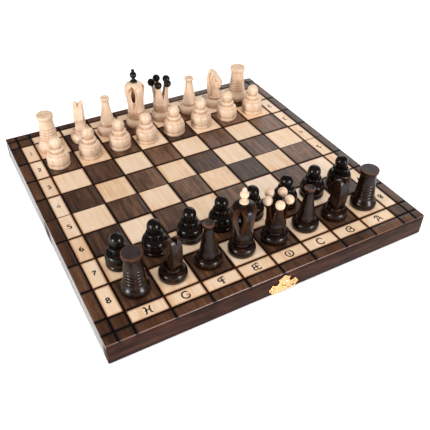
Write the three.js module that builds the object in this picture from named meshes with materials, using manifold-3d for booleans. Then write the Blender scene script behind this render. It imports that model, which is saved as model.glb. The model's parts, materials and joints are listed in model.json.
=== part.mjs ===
// A folding wooden chess set, opened flat with its chessmen set up for a game.
// Millimetres. +X runs along the fold from the H file to the A file, +Y runs from the dark side's edge to the
// white side's edge, +Z is up. The origin is under the middle of the fold, level with the hinge knuckles.
// The board is two shallow trays, open downwards, which the two hinges let fold face to face into a case.

import * as THREE from 'three';
import { mergeVertices } from 'three/addons/utils/BufferGeometryUtils.js';
import Module from 'manifold-3d';

const wasm = await Module();
wasm.setup();

// Playing surface
const SQUARE = 31.6;
const LETTER_RING = 13.8;
const OUTER_STRIP = 9.8;
const BOARD_HALF = 4 * SQUARE + LETTER_RING + OUTER_STRIP;
const FILES = ['h', 'g', 'f', 'e', 'd', 'c', 'b', 'a'];

// Trays
const TRAY_DEPTH = 20.5;
const PANEL = 4;
const WALL = 8;
const FOLD_GAP = 0.6;
const GLUE_LINE = 0.1;
const FELT = 0.8;

// Hinges
const KNUCKLE_R = 1.2;
const KNUCKLE_BORE_R = 0.75;
const HINGE_PIN_R = 0.5;
const HINGE_LENGTH = 30;
const HINGE_X = 95;
const LEAF_HEIGHT = 9.5;
const LEAF = 0.5;
const KNUCKLES = 5;
const PLAY = 0.3;

// Clasp
const PLATE = 0.8;
const PLATE_FACE = PLATE + GLUE_LINE;
const CLASP_REACH = 2.7;
const STUD_R = 1.5;
const STUD_HEIGHT = 6.3;
const PIVOT_HEIGHT = 2.4;
const PIVOT_R = 1;
const NAIL_X = 9.6;
const NAIL_HEIGHT = 7;
const NAIL_R = 0.45;
const NAIL_LENGTH = 5;

// Heights that follow
const AXIS_Z = KNUCKLE_R;
const RIM_Z = AXIS_Z + PLAY / 2;
const BOARD_TOP = RIM_Z + TRAY_DEPTH;
const WALL_HEIGHT = TRAY_DEPTH - PANEL - GLUE_LINE;
const FOLD_FACE = FOLD_GAP / 2;

// Chessmen
const SEAT_GAP = 0.1;
const TURNED_SIDES = 12;
const PAWN_SIDES = 10;
const KING_BODY_TOP = 50.4;
const FINIAL_SEAT = 0.3;
const BALLS = 5;
const BALL_R = 4;
const BALL_RING_R = 9.2;
const BALL_Z = 43.3;

const finish = {
  stainedOak: { color: 0x4b3733, roughness: 0.55 },
  palePanel: { color: 0xe8cdb0, roughness: 0.5 },
  felt: { color: 0x3d4a35, roughness: 0.95 },
  brass: { color: 0xe5b56a, roughness: 0.3, metalness: 1 },
  steel: { color: 0xb9b9b4, roughness: 0.35, metalness: 1 },
  whitewood: { color: 0xf3e0c6, roughness: 0.4 },
  darkwood: { color: 0x1e1512, roughness: 0.3 },
};

// ---------------------------------------------------------------- solids

// A closed geometry as a manifold solid. Triangles that collapse on a lathe's axis are dropped.
function solidOf(geometry) {
  const bare = geometry.clone();
  bare.deleteAttribute('normal');
  bare.deleteAttribute('uv');
  const merged = mergeVertices(bare, 1e-4);
  const corners = merged.index.array;
  const triangles = [];
  for (let i = 0; i < corners.length; i += 3) {
    const [a, b, c] = [corners[i], corners[i + 1], corners[i + 2]];
    if (a !== b && b !== c && c !== a) triangles.push(a, b, c);
  }
  return new wasm.Manifold(new wasm.Mesh({
    numProp: 3,
    vertProperties: new Float32Array(merged.attributes.position.array),
    triVerts: new Uint32Array(triangles),
  }));
}

function geometryOf(solid) {
  const mesh = solid.getMesh();
  const geometry = new THREE.BufferGeometry();
  geometry.setAttribute('position', new THREE.BufferAttribute(new Float32Array(mesh.vertProperties), 3));
  geometry.setIndex(new THREE.BufferAttribute(new Uint32Array(mesh.triVerts), 1));
  geometry.computeVertexNormals();
  return geometry;
}

const cutAll = (solid, cutters) => cutters.reduce((left, cutter) => left.subtract(cutter), solid);
const joinAll = (solids) => solids.reduce((sum, next) => sum.add(next));

// A box between two corners.
function box([x0, y0, z0], [x1, y1, z1]) {
  const geometry = new THREE.BoxGeometry(x1 - x0, y1 - y0, z1 - z0);
  geometry.translate((x0 + x1) / 2, (y0 + y1) / 2, (z0 + z1) / 2);
  return solidOf(geometry);
}

// A rod along X, between two places, round the line at (y, z).
function rodX(radius, x0, x1, y, z, sides = 16) {
  const geometry = new THREE.CylinderGeometry(radius, radius, x1 - x0, sides);
  geometry.rotateZ(Math.PI / 2);
  geometry.translate((x0 + x1) / 2, y, z);
  return solidOf(geometry);
}

// A rod along Y, between two places, round the line at (x, z).
function rodY(radius, y0, y1, x, z, sides = 12) {
  const geometry = new THREE.CylinderGeometry(radius, radius, y1 - y0, sides);
  geometry.translate(x, (y0 + y1) / 2, z);
  return solidOf(geometry);
}

// A turned shape round +Z from [radius, height] points, closed onto the axis at both ends.
function turned(profile, sides = TURNED_SIDES) {
  const first = profile[0][1];
  const last = profile[profile.length - 1][1];
  const points = [[0, first], ...profile, [0, last]].map(([r, z]) => new THREE.Vector2(r, z));
  const geometry = new THREE.LatheGeometry(points, sides);
  geometry.rotateX(Math.PI / 2);
  return solidOf(geometry);
}

// Points on a ball's side, from one latitude to another, in degrees.
function ballSide(radius, height, from, to, steps) {
  return Array.from({ length: steps + 1 }, (_, i) => {
    const latitude = THREE.MathUtils.degToRad(from + ((to - from) * i) / steps);
    return [radius * Math.cos(latitude), height + radius * Math.sin(latitude)];
  });
}

// An outline in the XZ plane, given as [x, z] points, with a thickness along +Y.
function plateXZ(outline, thickness, y) {
  const shape = new THREE.Shape(outline.map(([x, z]) => new THREE.Vector2(x, z)));
  const geometry = new THREE.ExtrudeGeometry(shape, { depth: thickness, bevelEnabled: false });
  geometry.rotateX(Math.PI / 2);
  geometry.translate(0, y + thickness, 0);
  return solidOf(geometry);
}

function node(name, solid, look) {
  const mesh = new THREE.Mesh(geometryOf(solid), new THREE.MeshStandardMaterial(look));
  mesh.name = name;
  return mesh;
}

// ---------------------------------------------------------------- board

// A rounded seat for the hinge knuckles and a shallow mortise for one leaf, cut out of a fold wall.
function hingeCutters(side) {
  return [-HINGE_X, HINGE_X].flatMap((x) => {
    const x0 = x - HINGE_LENGTH / 2 - PLAY;
    const x1 = x + HINGE_LENGTH / 2 + PLAY;
    const depth = FOLD_FACE + LEAF + GLUE_LINE;
    const near = side > 0 ? 0 : -depth;
    return [
      rodX(KNUCKLE_R + PLAY, x0, x1, 0, AXIS_Z),
      box([x0, near, 0], [x1, near + depth, RIM_Z + LEAF_HEIGHT + GLUE_LINE]),
    ];
  });
}

// One tray: its playing panel, four walls glued under it and a felt lining. side is -1 in front, +1 behind.
function tray(side, prefix) {
  const span = (near, far) => (side > 0 ? [near, far] : [-far, -near]);
  const slab = (x0, x1, near, far, z0, z1) => {
    const [y0, y1] = span(near, far);
    return box([x0, y0, z0], [x1, y1, z1]);
  };
  const wallTop = RIM_Z + WALL_HEIGHT;
  const inner = BOARD_HALF - WALL;
  const nailHoles = [-NAIL_X, NAIL_X].map((x) => {
    const [y0, y1] = span(inner, BOARD_HALF + 1);
    return rodY(NAIL_R + PLAY, y0, y1, x, RIM_Z + NAIL_HEIGHT, 8);
  });
  const sideNear = FOLD_FACE + WALL + GLUE_LINE;
  const sideFar = inner - GLUE_LINE;
  const outer = slab(-BOARD_HALF, BOARD_HALF, inner, BOARD_HALF, RIM_Z, wallTop);
  const fold = slab(-BOARD_HALF, BOARD_HALF, FOLD_FACE, FOLD_FACE + WALL, RIM_Z, wallTop);
  const left = slab(-BOARD_HALF, -inner, sideNear, sideFar, RIM_Z, wallTop);
  const right = slab(inner, BOARD_HALF, sideNear, sideFar, RIM_Z, wallTop);
  const panel = slab(-BOARD_HALF, BOARD_HALF, FOLD_FACE, BOARD_HALF, BOARD_TOP - PANEL, BOARD_TOP);
  const lining = slab(-inner + PLAY, inner - PLAY, sideNear + PLAY, sideFar - PLAY, wallTop - FELT, wallTop);
  return [
    node(`${prefix}_playing_panel`, panel, finish.palePanel),
    node(`${prefix}_outer_wall`, cutAll(outer, nailHoles), finish.stainedOak),
    node(`${prefix}_fold_wall`, cutAll(fold, hingeCutters(side)), finish.stainedOak),
    node(`${prefix}_left_wall`, left, finish.stainedOak),
    node(`${prefix}_right_wall`, right, finish.stainedOak),
    node(`${prefix}_felt_lining`, lining, finish.felt),
  ];
}

// One leaf of a hinge with its share of the knuckles: the back leaf has the odd ones, the front leaf the even.
function hingeLeaf(x, side) {
  const start = x - HINGE_LENGTH / 2;
  const pitch = HINGE_LENGTH / KNUCKLES;
  const near = side > 0 ? FOLD_FACE : -FOLD_FACE - LEAF;
  const flap = box([start, near, AXIS_Z], [start + HINGE_LENGTH, near + LEAF, RIM_Z + LEAF_HEIGHT]);
  const mine = [];
  const theirs = [];
  for (let i = 0; i < KNUCKLES; i += 1) {
    const x0 = start + i * pitch;
    if ((i % 2 === 0) === side > 0) {
      mine.push(rodX(KNUCKLE_R, x0 + PLAY / 2, x0 + pitch - PLAY / 2, 0, AXIS_Z));
    } else {
      theirs.push(rodX(KNUCKLE_R + PLAY, x0 - PLAY / 2, x0 + pitch + PLAY / 2, 0, AXIS_Z));
    }
  }
  const bore = rodX(KNUCKLE_BORE_R, start - 1, start + HINGE_LENGTH + 1, 0, AXIS_Z);
  return joinAll([cutAll(flap, theirs), ...mine]).subtract(bore);
}

function hinge(x, name) {
  const pin = rodX(HINGE_PIN_R, x - HINGE_LENGTH / 2, x + HINGE_LENGTH / 2, 0, AXIS_Z, 10);
  return [
    node(`${name}_hinge_back_leaf`, hingeLeaf(x, 1), finish.brass),
    node(`${name}_hinge_front_leaf`, hingeLeaf(x, -1), finish.brass),
    node(`${name}_hinge_pin`, pin, finish.steel),
  ];
}

// ---------------------------------------------------------------- clasp

// The stamped outline of a clasp plate: a tall middle lobe and two side lobes with three cusps each.
// Heights are squeezed by a factor and start at a foot height above the rim.
function claspOutline(foot, squeeze) {
  const half = [
    [3, 0.6], [7, 1], [10.6, 0], [12, 3.2], [14, 5.8], [12.4, 8.4], [10.6, 11.2], [8.6, 10],
    [6.4, 9.6], [4.9, 11.4], [5.6, 15.2], [3, 16.2], [0, 18.4],
  ];
  const mirrored = half.slice(0, -1).reverse().map(([x, z]) => [-x, z]);
  return [...half, ...mirrored].map(([x, z]) => [x, RIM_Z + foot + z * squeeze]);
}

function nailHolesIn(y0, y1) {
  return [-NAIL_X, NAIL_X].map((x) => rodY(NAIL_R + PLAY, y0, y1, x, RIM_Z + NAIL_HEIGHT, 8));
}

// The catch plate on the front wall: the stud stands out of a round boss, low in the middle.
function catchPlate() {
  const face = -BOARD_HALF - PLATE_FACE;
  const plate = plateXZ(claspOutline(0.3, 1), PLATE, face);
  const stud = rodY(STUD_R, -BOARD_HALF - CLASP_REACH, face + PLATE / 2, 0, RIM_Z + STUD_HEIGHT);
  return cutAll(plate, nailHolesIn(-BOARD_HALF - 2, -BOARD_HALF)).add(stud);
}

const PIVOT_Y = BOARD_HALF + CLASP_REACH - PIVOT_R;
const PIVOT_Z = RIM_Z + PIVOT_HEIGHT;
const HASP_REACH = PIVOT_HEIGHT + PLAY + STUD_HEIGHT;

// The plate on the back wall, with two knuckles at its foot that carry the hasp's pin.
function haspPlate() {
  const plate = plateXZ(claspOutline(4.1, 0.86), PLATE, BOARD_HALF + GLUE_LINE);
  const knuckles = [-1, 1].flatMap((side) => {
    const x0 = side > 0 ? 3 : -6;
    const tab = [[x0, PIVOT_Z - 0.5], [x0 + 3, PIVOT_Z - 0.5], [x0 + 3, RIM_Z + 6], [x0, RIM_Z + 6]];
    return [
      rodX(PIVOT_R, x0, x0 + 3, PIVOT_Y, PIVOT_Z, 12),
      plateXZ(tab, PLATE, BOARD_HALF + GLUE_LINE),
    ];
  });
  const bore = rodX(HINGE_PIN_R + 0.15, -8, 8, PIVOT_Y, PIVOT_Z, 10);
  const holes = nailHolesIn(BOARD_HALF, BOARD_HALF + 2);
  return cutAll(joinAll([plate, ...knuckles]), [bore, ...holes]);
}

// The swinging hasp: one knuckle and a tongue with the hole that drops over the stud. It is folded up.
function hasp() {
  const tongue = [
    [-2.6, PIVOT_Z], [2.6, PIVOT_Z], [3.4, PIVOT_Z + 5], [4.2, PIVOT_Z + HASP_REACH],
    [2.4, PIVOT_Z + HASP_REACH + 3.6], [0, PIVOT_Z + HASP_REACH + 5],
    [-2.4, PIVOT_Z + HASP_REACH + 3.6], [-4.2, PIVOT_Z + HASP_REACH], [-3.4, PIVOT_Z + 5],
  ];
  const plate = plateXZ(tongue, 0.7, PIVOT_Y - 0.35);
  const knuckle = rodX(PIVOT_R, -2.6, 2.6, PIVOT_Y, PIVOT_Z, 12);
  const bore = rodX(HINGE_PIN_R + 0.15, -8, 8, PIVOT_Y, PIVOT_Z, 10);
  const hole = rodY(STUD_R + 0.6, PIVOT_Y - 2, PIVOT_Y + 2, 0, PIVOT_Z + HASP_REACH);
  return cutAll(plate.add(knuckle), [bore, hole]);
}

// A small round-headed nail through a plate's side lobe into the wall.
function nail(x, side) {
  const head = turned([[NAIL_R, -NAIL_LENGTH], [NAIL_R, PLAY], [1.1, PLAY], [0.8, 0.8]], 8);
  const out = side > 0 ? head.rotate([-90, 0, 0]) : head.rotate([90, 0, 0]);
  return out.translate([x, side * (BOARD_HALF + PLATE_FACE), RIM_Z + NAIL_HEIGHT]);
}

function clasp() {
  const pin = rodX(HINGE_PIN_R, -6, 6, PIVOT_Y, PIVOT_Z, 10);
  return [
    node('catch_plate', catchPlate(), finish.brass),
    node('catch_left_nail', nail(-NAIL_X, -1), finish.brass),
    node('catch_right_nail', nail(NAIL_X, -1), finish.brass),
    node('hasp_plate', haspPlate(), finish.brass),
    node('hasp_left_nail', nail(-NAIL_X, 1), finish.brass),
    node('hasp_right_nail', nail(NAIL_X, 1), finish.brass),
    node('hasp', hasp(), finish.brass),
    node('hasp_pin', pin, finish.steel),
  ];
}

// ---------------------------------------------------------------- chessmen

const FOOT = [[11.1, 0], [11.8, 3.3], [11, 7], [8.6, 9.4]];

function pawn() {
  const body = [[10.7, 0], [11.1, 2.4], [10.9, 7.5], [10.2, 12.6], [7.2, 16.2], [7.2, 18.4], [5.2, 20.2]];
  return turned([...body, ...ballSide(5.4, 26.2, -48, 66, 4)], PAWN_SIDES);
}

function rook() {
  return turned([...FOOT, [8.8, 11], [7.1, 31.5], [8.2, 35.6], [8.2, 39.2]]);
}

function bishop() {
  return turned([...FOOT, [7.3, 10.4], [7.8, 12], [3.5, 37.4], [4.7, 40], [4.5, 41.4]]);
}

// The knight's head is a sawn slab with a V between its ears, on a turned foot. It looks along +X.
function knight() {
  const foot = turned([...FOOT, [7.6, 10.2], [8.2, 11], [8.2, 12.4]]);
  const side = [
    [-6.2, 12], [6.2, 12], [5.8, 17], [4, 22], [4.6, 23.6], [7.4, 24.4], [8.4, 27], [7.2, 30.6],
    [2.6, 36.6], [-2, 41], [-4.8, 42.4], [-7.2, 38], [-8.3, 30], [-7.8, 20],
  ];
  const head = plateXZ(side, 9.4, -4.7);
  const vee = new THREE.Shape([[0, 36.5], [3.4, 44], [-3.4, 44]].map(([y, z]) => new THREE.Vector2(y, z)));
  const notch = new THREE.ExtrudeGeometry(vee, { depth: 12, bevelEnabled: false });
  notch.rotateX(Math.PI / 2);
  notch.rotateZ(Math.PI / 2);
  notch.translate(-11, 0, 0);
  return foot.add(head).subtract(solidOf(notch));
}

// The queen is bored out at the top, slit into five prongs, and each prong carries a ball.
function queen() {
  const body = turned([...FOOT, [8, 10.8], [8.9, 17.5], [8.3, 21], [8.6, 30], [9.8, 41]]);
  const bore = turned([[0.5, 24], [6.2, 29], [6.6, 48]]);
  const slit = new THREE.Shape([[0, 25], [3.9, 43], [-3.9, 43]].map(([y, z]) => new THREE.Vector2(y, z)));
  const wedge = new THREE.ExtrudeGeometry(slit, { depth: 12, bevelEnabled: false });
  wedge.rotateX(Math.PI / 2);
  wedge.rotateZ(Math.PI / 2);
  wedge.translate(2, 0, 0);
  const ball = new THREE.IcosahedronGeometry(BALL_R, 1);
  ball.translate(BALL_RING_R, 0, BALL_Z);
  const turn = 360 / BALLS;
  const slits = Array.from({ length: BALLS }, (_, i) => solidOf(wedge).rotate([0, 0, (i + 0.5) * turn]));
  const balls = Array.from({ length: BALLS }, (_, i) => solidOf(ball).rotate([0, 0, i * turn]));
  return joinAll([cutAll(body, [bore, ...slits]), ...balls]);
}

// The king's domed crown has four tall pointed windows, each sunk by a lens-shaped cutter.
function king() {
  const body = turned([
    ...FOOT, [8.3, 11.6], [9.3, 18.4], [8.6, 24.6], [9.6, 33], [11, 41.4], [10.2, 45.6], [7.6, 48.8],
    [3, KING_BODY_TOP],
  ]);
  const rim = [[0, -4.2], [9.5, 0], [0, 4.2]].map(([r, t]) => new THREE.Vector2(r, t));
  const lens = new THREE.LatheGeometry(rim, 16);
  lens.translate(13.4, 0, 38);
  const windows = [0, 90, 180, 270].map((turn) => solidOf(lens).rotate([0, 0, turn]));
  return cutAll(body, windows);
}

// The little turned spire on the king's crown: a skirt, a neck, a bead and a knob.
function kingFinial() {
  return turned([
    [3.7, 0], [3.2, 1.6], [1.7, 4], [2, 5], ...ballSide(3.6, 7.6, -40, 40, 2), [1.7, 10.4],
    ...ballSide(1.8, 12.3, -20, 60, 2),
  ], PAWN_SIDES);
}

// How far each hand-placed chessman stands from the middle of its square, along X and Y, from the H file on.
const NUDGES = {
  8: [[0, 0.5], [0, 0.5], [0, 0.5], [-1, -0.5], [-1, -1], [0, 0], [-0.5, -0.5], [0.5, -0.5]],
  7: [[-0.5, 1.5], [0, 2.5], [0, 2.5], [-1, 3], [-2, 3], [1, 2], [0, 2.5], [0, 3]],
  2: [[-2.5, 0.5], [-1, 2], [-0.5, 2.5], [-3, 1], [-2.5, 1.5], [-2, 1.5], [-1, 2], [-0.5, 1]],
  1: [[-1.5, 1], [1, 2.5], [-1.5, 2.5], [0, 2.5], [-2, 3.5], [0, 1.5], [0.5, 2], [-1, 2.5]],
};

// Which way the pieces that aren't round are turned, in degrees from +X.
const HEADINGS = {
  dark_knight_g8: 90, dark_knight_b8: 103, white_knight_g1: -112, white_knight_b1: -35,
  dark_queen_d8: 248, white_queen_d1: 231, dark_king_e8: -128, white_king_e1: -133,
};

const BACK_RANK = ['rook', 'knight', 'bishop', 'king', 'queen', 'bishop', 'knight', 'rook'];
const carve = { rook, knight, bishop, king, queen, pawn };

// Stands a solid on a square. Rank 8 is nearest the front edge.
function stand(name, solid, look, rank, column) {
  const [dx, dy] = NUDGES[rank][column];
  const mesh = node(name, solid, look);
  mesh.position.set((column - 3.5) * SQUARE + dx, (4.5 - rank) * SQUARE + dy, BOARD_TOP + SEAT_GAP);
  mesh.rotation.z = THREE.MathUtils.degToRad(HEADINGS[name] ?? 0);
  return mesh;
}

function side(colour, look, contrast, pieceRank, pawnRank) {
  const men = [];
  for (let column = 0; column < FILES.length; column += 1) {
    const kind = BACK_RANK[column];
    const file = FILES[column];
    men.push(stand(`${colour}_${kind}_${file}${pieceRank}`, carve[kind](), look, pieceRank, column));
    men.push(stand(`${colour}_pawn_${file}${pawnRank}`, pawn(), look, pawnRank, column));
    if (kind === 'king') {
      const finial = stand(`${colour}_king_finial`, kingFinial(), contrast, pieceRank, column);
      finial.position.z += KING_BODY_TOP + FINIAL_SEAT;
      men.push(finial);
    }
  }
  return men;
}

// ---------------------------------------------------------------- assembly

const group = new THREE.Group();
group.add(...tray(-1, 'front'), ...tray(1, 'back'));
group.add(...hinge(-HINGE_X, 'left'), ...hinge(HINGE_X, 'right'));
group.add(...clasp());
group.add(...side('dark', finish.darkwood, finish.whitewood, 8, 7));
group.add(...side('white', finish.whitewood, finish.darkwood, 1, 2));

export default group;
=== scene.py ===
# %% [markdown]
# # A folding wooden chess set
# The board is two shallow wooden trays joined by hinges. The chessmen are turned on a lathe, and a few are
# carved afterwards. This lesson builds the looks round a fixed frame of plain solids, which gives every
# piece its place.

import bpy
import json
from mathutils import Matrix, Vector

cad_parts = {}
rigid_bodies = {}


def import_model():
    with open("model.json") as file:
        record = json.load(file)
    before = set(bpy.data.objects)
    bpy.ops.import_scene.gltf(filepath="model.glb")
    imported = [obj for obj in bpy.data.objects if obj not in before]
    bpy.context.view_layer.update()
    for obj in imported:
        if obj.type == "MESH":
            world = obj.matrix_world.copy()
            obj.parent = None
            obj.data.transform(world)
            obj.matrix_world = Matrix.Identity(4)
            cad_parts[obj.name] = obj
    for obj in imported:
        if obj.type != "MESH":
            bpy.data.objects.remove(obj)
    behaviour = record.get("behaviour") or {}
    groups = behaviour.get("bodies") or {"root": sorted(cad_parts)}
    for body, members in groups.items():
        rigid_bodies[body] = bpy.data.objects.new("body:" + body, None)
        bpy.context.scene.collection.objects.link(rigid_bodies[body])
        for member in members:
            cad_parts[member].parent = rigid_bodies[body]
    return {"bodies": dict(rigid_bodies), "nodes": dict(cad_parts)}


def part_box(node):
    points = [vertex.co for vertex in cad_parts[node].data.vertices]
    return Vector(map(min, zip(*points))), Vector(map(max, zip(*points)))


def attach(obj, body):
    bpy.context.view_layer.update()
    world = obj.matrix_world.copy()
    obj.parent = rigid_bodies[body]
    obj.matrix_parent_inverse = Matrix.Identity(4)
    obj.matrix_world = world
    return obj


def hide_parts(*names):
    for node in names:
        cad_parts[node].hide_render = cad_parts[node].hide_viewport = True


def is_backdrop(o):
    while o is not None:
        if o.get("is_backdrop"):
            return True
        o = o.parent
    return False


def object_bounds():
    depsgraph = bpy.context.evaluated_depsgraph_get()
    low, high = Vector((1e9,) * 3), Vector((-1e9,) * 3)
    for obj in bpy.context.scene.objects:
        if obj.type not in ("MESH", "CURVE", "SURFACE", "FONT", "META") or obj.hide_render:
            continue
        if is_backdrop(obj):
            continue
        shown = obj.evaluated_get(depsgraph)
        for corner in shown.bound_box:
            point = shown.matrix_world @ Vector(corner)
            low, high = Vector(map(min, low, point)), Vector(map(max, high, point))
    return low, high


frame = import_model()
cad_low, cad_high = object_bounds()
print("frame box in metres:", [round(v, 4) for v in (*cad_low, *cad_high)])

# %% [markdown]
# Blender works in metres, and the sizes of a chess set are easier to think of in millimetres, so one
# constant turns one into the other, and a second one says when two places are the same. An operator acts on
# whatever is selected, so a helper first clears the selection.

# %% Units and selecting
import json
import math
import random

import bmesh
import bpy
from mathutils import Matrix, Quaternion, Vector

MM = 0.001
TINY = 1e-6


def pick(*pieces):
    """Select only these pieces. The last one is the active one."""
    bpy.ops.object.select_all(action="DESELECT")
    for piece in pieces:
        piece.select_set(True)
        bpy.context.view_layer.objects.active = piece


def edit(piece):
    """Open one piece in edit mode with everything selected."""
    pick(piece)
    bpy.ops.object.mode_set(mode="EDIT")
    bpy.ops.mesh.select_all(action="SELECT")


def leave_edit():
    bpy.ops.object.mode_set(mode="OBJECT")


def join(name, pieces):
    """Make one piece of several, under a new name."""
    pick(*pieces[1:], pieces[0])
    if len(pieces) > 1:
        bpy.ops.object.join()
    pieces[0].name = name
    return pieces[0]

# %% [markdown]
# The board's top gives the height that everything stands on. The sizes of the playing squares, of the pale
# ring with the letters and of the dark strip round it are those of a 30 cm board.

# %% Sizes of the board
SQUARE = 31.6
RING = 13.8
PLAY_EDGE = 4 * SQUARE
RING_EDGE = PLAY_EDGE + RING
FILES = "HGFEDCBA"

BOARD_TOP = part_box("back_playing_panel")[1].z
print("top of the board, mm:", round(BOARD_TOP / MM, 2))

# %% [markdown]
# The camera looks down on the board from its left front corner, about as a standing player does. It aims a
# little in front of the middle, and it is held with a small roll.

# %% Camera
CAMERA_PLACE = Vector((-200.2, -395.2, 324.3)) * MM + Vector((0, 0, BOARD_TOP))
CAMERA_AIM = Vector((-14.8, -61.5, 0)) * MM + Vector((0, 0, BOARD_TOP))
CAMERA_ROLL = math.radians(0.57)
LENS_MM = 47.2

bpy.ops.object.camera_add(location=CAMERA_PLACE)
camera = bpy.context.object
camera.name = "camera"
camera.data.lens = LENS_MM
camera.data.clip_start = 0.01
camera.rotation_mode = "QUATERNION"
straight = (CAMERA_AIM - CAMERA_PLACE).to_track_quat("-Z", "Y")
camera.rotation_quaternion = straight @ Quaternion((0, 0, 1), CAMERA_ROLL)
bpy.context.scene.camera = camera

# %% [markdown]
# ## Finishes
# Colours are written as sRGB hex values, as a paint chart gives them, and one function turns them to the
# linear values that shaders mix. One small function adds a shader node with its settings, links and ramp
# stops, and the others use it for the few nodes that nearly every finish has.


# %% Colour and node helpers
def linear(hex_colour):
    channels = [int(hex_colour[i : i + 2], 16) / 255 for i in (1, 3, 5)]
    curve = [c / 12.92 if c <= 0.04045 else ((c + 0.055) / 1.055) ** 2.4 for c in channels]
    return (*curve, 1.0)


def add(material, kind, inputs=None, stops=None, **settings):
    """Add a shader node. inputs maps a socket's name or number to a value or to another node's socket."""
    made = material.node_tree.nodes.new("ShaderNode" + kind)
    for key, value in settings.items():
        setattr(made, key, value)
    for key, value in (inputs or {}).items():
        if isinstance(value, bpy.types.NodeSocket):
            material.node_tree.links.new(value, made.inputs[key])
        else:
            made.inputs[key].default_value = value
    for i, (place, colour) in enumerate(stops or []):
        points = made.color_ramp.elements
        point = points[i] if i < 2 else points.new(place)
        point.position = place
        point.color = linear(colour)
    return made


EVEN = (0.36, 0.46, 0.56, 0.66)
STEEP = (0.38, 0.46, 0.54, 0.63)
GENTLE = (0.34, 0.46, 0.56, 0.68)


def ramp(colours, places=EVEN):
    """Stops for a colour ramp, from the darkest pore to the lightest band."""
    return list(zip(places, colours.split()))


def new_material(name):
    material = bpy.data.materials.new(name)
    material.use_nodes = True
    material.node_tree.nodes.clear()
    return material


def maths(material, operation, *values, clamp=False):
    """One sum on sockets or numbers."""
    return add(material, "Math", dict(enumerate(values)), operation=operation, use_clamp=clamp).outputs[0]


def mix_colours(material, share, colour, hex_colour):
    """Blend a colour socket towards a fixed colour."""
    inputs = {0: share, 6: colour, 7: linear(hex_colour)}
    return add(material, "Mix", inputs, data_type="RGBA").outputs[2]


def bump(material, height, strength, depth):
    """A bump from a height socket, with its depth in mm."""
    return add(material, "Bump", {"Height": height, "Strength": strength, "Distance": depth * MM}).outputs[0]


def surface(material, colour, settings):
    """Finish a material with the one shader that all of them use."""
    shader = add(material, "BsdfPrincipled", {"Base Color": colour, **settings})
    add(material, "OutputMaterial", {"Surface": shader.outputs[0]})
    return material


def lacquered(material, colour, roughness, gloss, normal):
    settings = {"Roughness": roughness, "IOR": 1.5, "Specular IOR Level": gloss, "Normal": normal}
    return surface(material, colour, settings)


# %% [markdown]
# ### Wood
# All the wood is lacquered, so it has a soft gloss over its grain. Grain is noise that is stretched along
# the fibres: a fine one for the pores, a broad one for the bands and a round one for cloudy patches. The
# grain runs along a chosen axis of the piece. An attribute darkens the wood next to a burned line, where it
# is scorched, and in a thin strip along the fold, as painted shade of the gap between the two halves. One
# called cell gives each square its own stretch of the grain. The cells with the highest cell value have a
# figure too: wavy pale veins, where a broad swirling noise passes through its middle value.
# Hands rub the stain off the front and back arris of the board, so that arris is paler and shines more,
# and its colour is lightened further as a painted highlight.

# %% Plank wood
PORE_WIDTH = 0.5 * MM
PORE_LENGTH = 9 * MM
BAND_WIDTH = 4 * MM
BAND_LENGTH = 60 * MM
BAND_WAVE = 0.6
CLOUD_WIDTH = 11 * MM
CLOUD_LENGTH = 24 * MM
PORE_SHARE, BAND_SHARE, CLOUD_SHARE = 0.3, 0.45, 0.25
CELL_TINT = 0.16
CELL_SHIFT = (0.7, 3.1, 0.0)
FIGURED_CELLS = 0.72
FIGURE_WIDTH = 5 * MM
FIGURE_LENGTH = 9 * MM
FIGURE_WAVE = 2.5
FIGURE_STRENGTH = 0.09
VEIN_WIDTH = 0.03


def grain(material, axis, width, length, detail, shift=None, distortion=0.0):
    """Noise stretched along one axis (0, 1 or 2) of the piece."""
    place = add(material, "TexCoord").outputs["Object"]
    if shift is not None:
        place = add(material, "VectorMath", {0: place, 1: shift}, operation="ADD").outputs[0]
    scale = [1 / width] * 3
    scale[axis] = 1 / length
    mapped = add(material, "Mapping", {"Vector": place, "Scale": scale}).outputs[0]
    settings = {"Vector": mapped, "Scale": 1.0, "Detail": detail, "Roughness": 0.6, "Distortion": distortion}
    return add(material, "TexNoise", settings).outputs[0]


def plank_wood(name, axis, stops, roughness, gloss, scorch_and_fold_shade_colour="#120B08"):
    material = new_material(name)
    cell = add(material, "Attribute", attribute_name="cell").outputs["Fac"]
    spread = add(material, "CombineXYZ", {"X": cell, "Y": cell, "Z": cell}).outputs[0]
    shift = add(material, "VectorMath", {0: spread, 1: CELL_SHIFT}, operation="MULTIPLY").outputs[0]
    pores = grain(material, axis, PORE_WIDTH, PORE_LENGTH, 4.0, shift)
    bands = grain(material, axis, BAND_WIDTH, BAND_LENGTH, 3.0, shift, BAND_WAVE)
    cloud = grain(material, axis, CLOUD_WIDTH, CLOUD_LENGTH, 2.0, shift)
    mixed = maths(material, "MULTIPLY", pores, PORE_SHARE)
    mixed = maths(material, "MULTIPLY_ADD", bands, BAND_SHARE, mixed)
    mixed = maths(material, "MULTIPLY_ADD", cloud, CLOUD_SHARE, mixed)
    tint = maths(material, "MULTIPLY_ADD", cell, CELL_TINT, mixed)
    tint = maths(material, "SUBTRACT", tint, CELL_TINT / 2)
    figure = grain(material, axis, FIGURE_WIDTH, FIGURE_LENGTH, 2.0, shift, FIGURE_WAVE)
    figure = maths(material, "ABSOLUTE", maths(material, "SUBTRACT", figure, 0.5))
    fade = {0: figure, 1: 0.0, 2: VEIN_WIDTH, 3: FIGURE_STRENGTH, 4: 0.0}
    vein = add(material, "MapRange", fade).outputs[0]
    figured = maths(material, "GREATER_THAN", cell, FIGURED_CELLS)
    tint = maths(material, "MULTIPLY_ADD", vein, figured, tint)
    colour = add(material, "ValToRGB", {"Fac": tint}, stops).outputs[0]
    # Darkening beside a burned line is scorch; in the thin strip along the fold it is painted shade of the
    # gap between the halves.
    scorch = add(material, "Attribute", attribute_name="scorch").outputs["Fac"]
    colour = mix_colours(material, scorch, colour, scorch_and_fold_shade_colour)
    return lacquered(material, colour, roughness, gloss, bump(material, pores, 0.25, 0.05))


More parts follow.
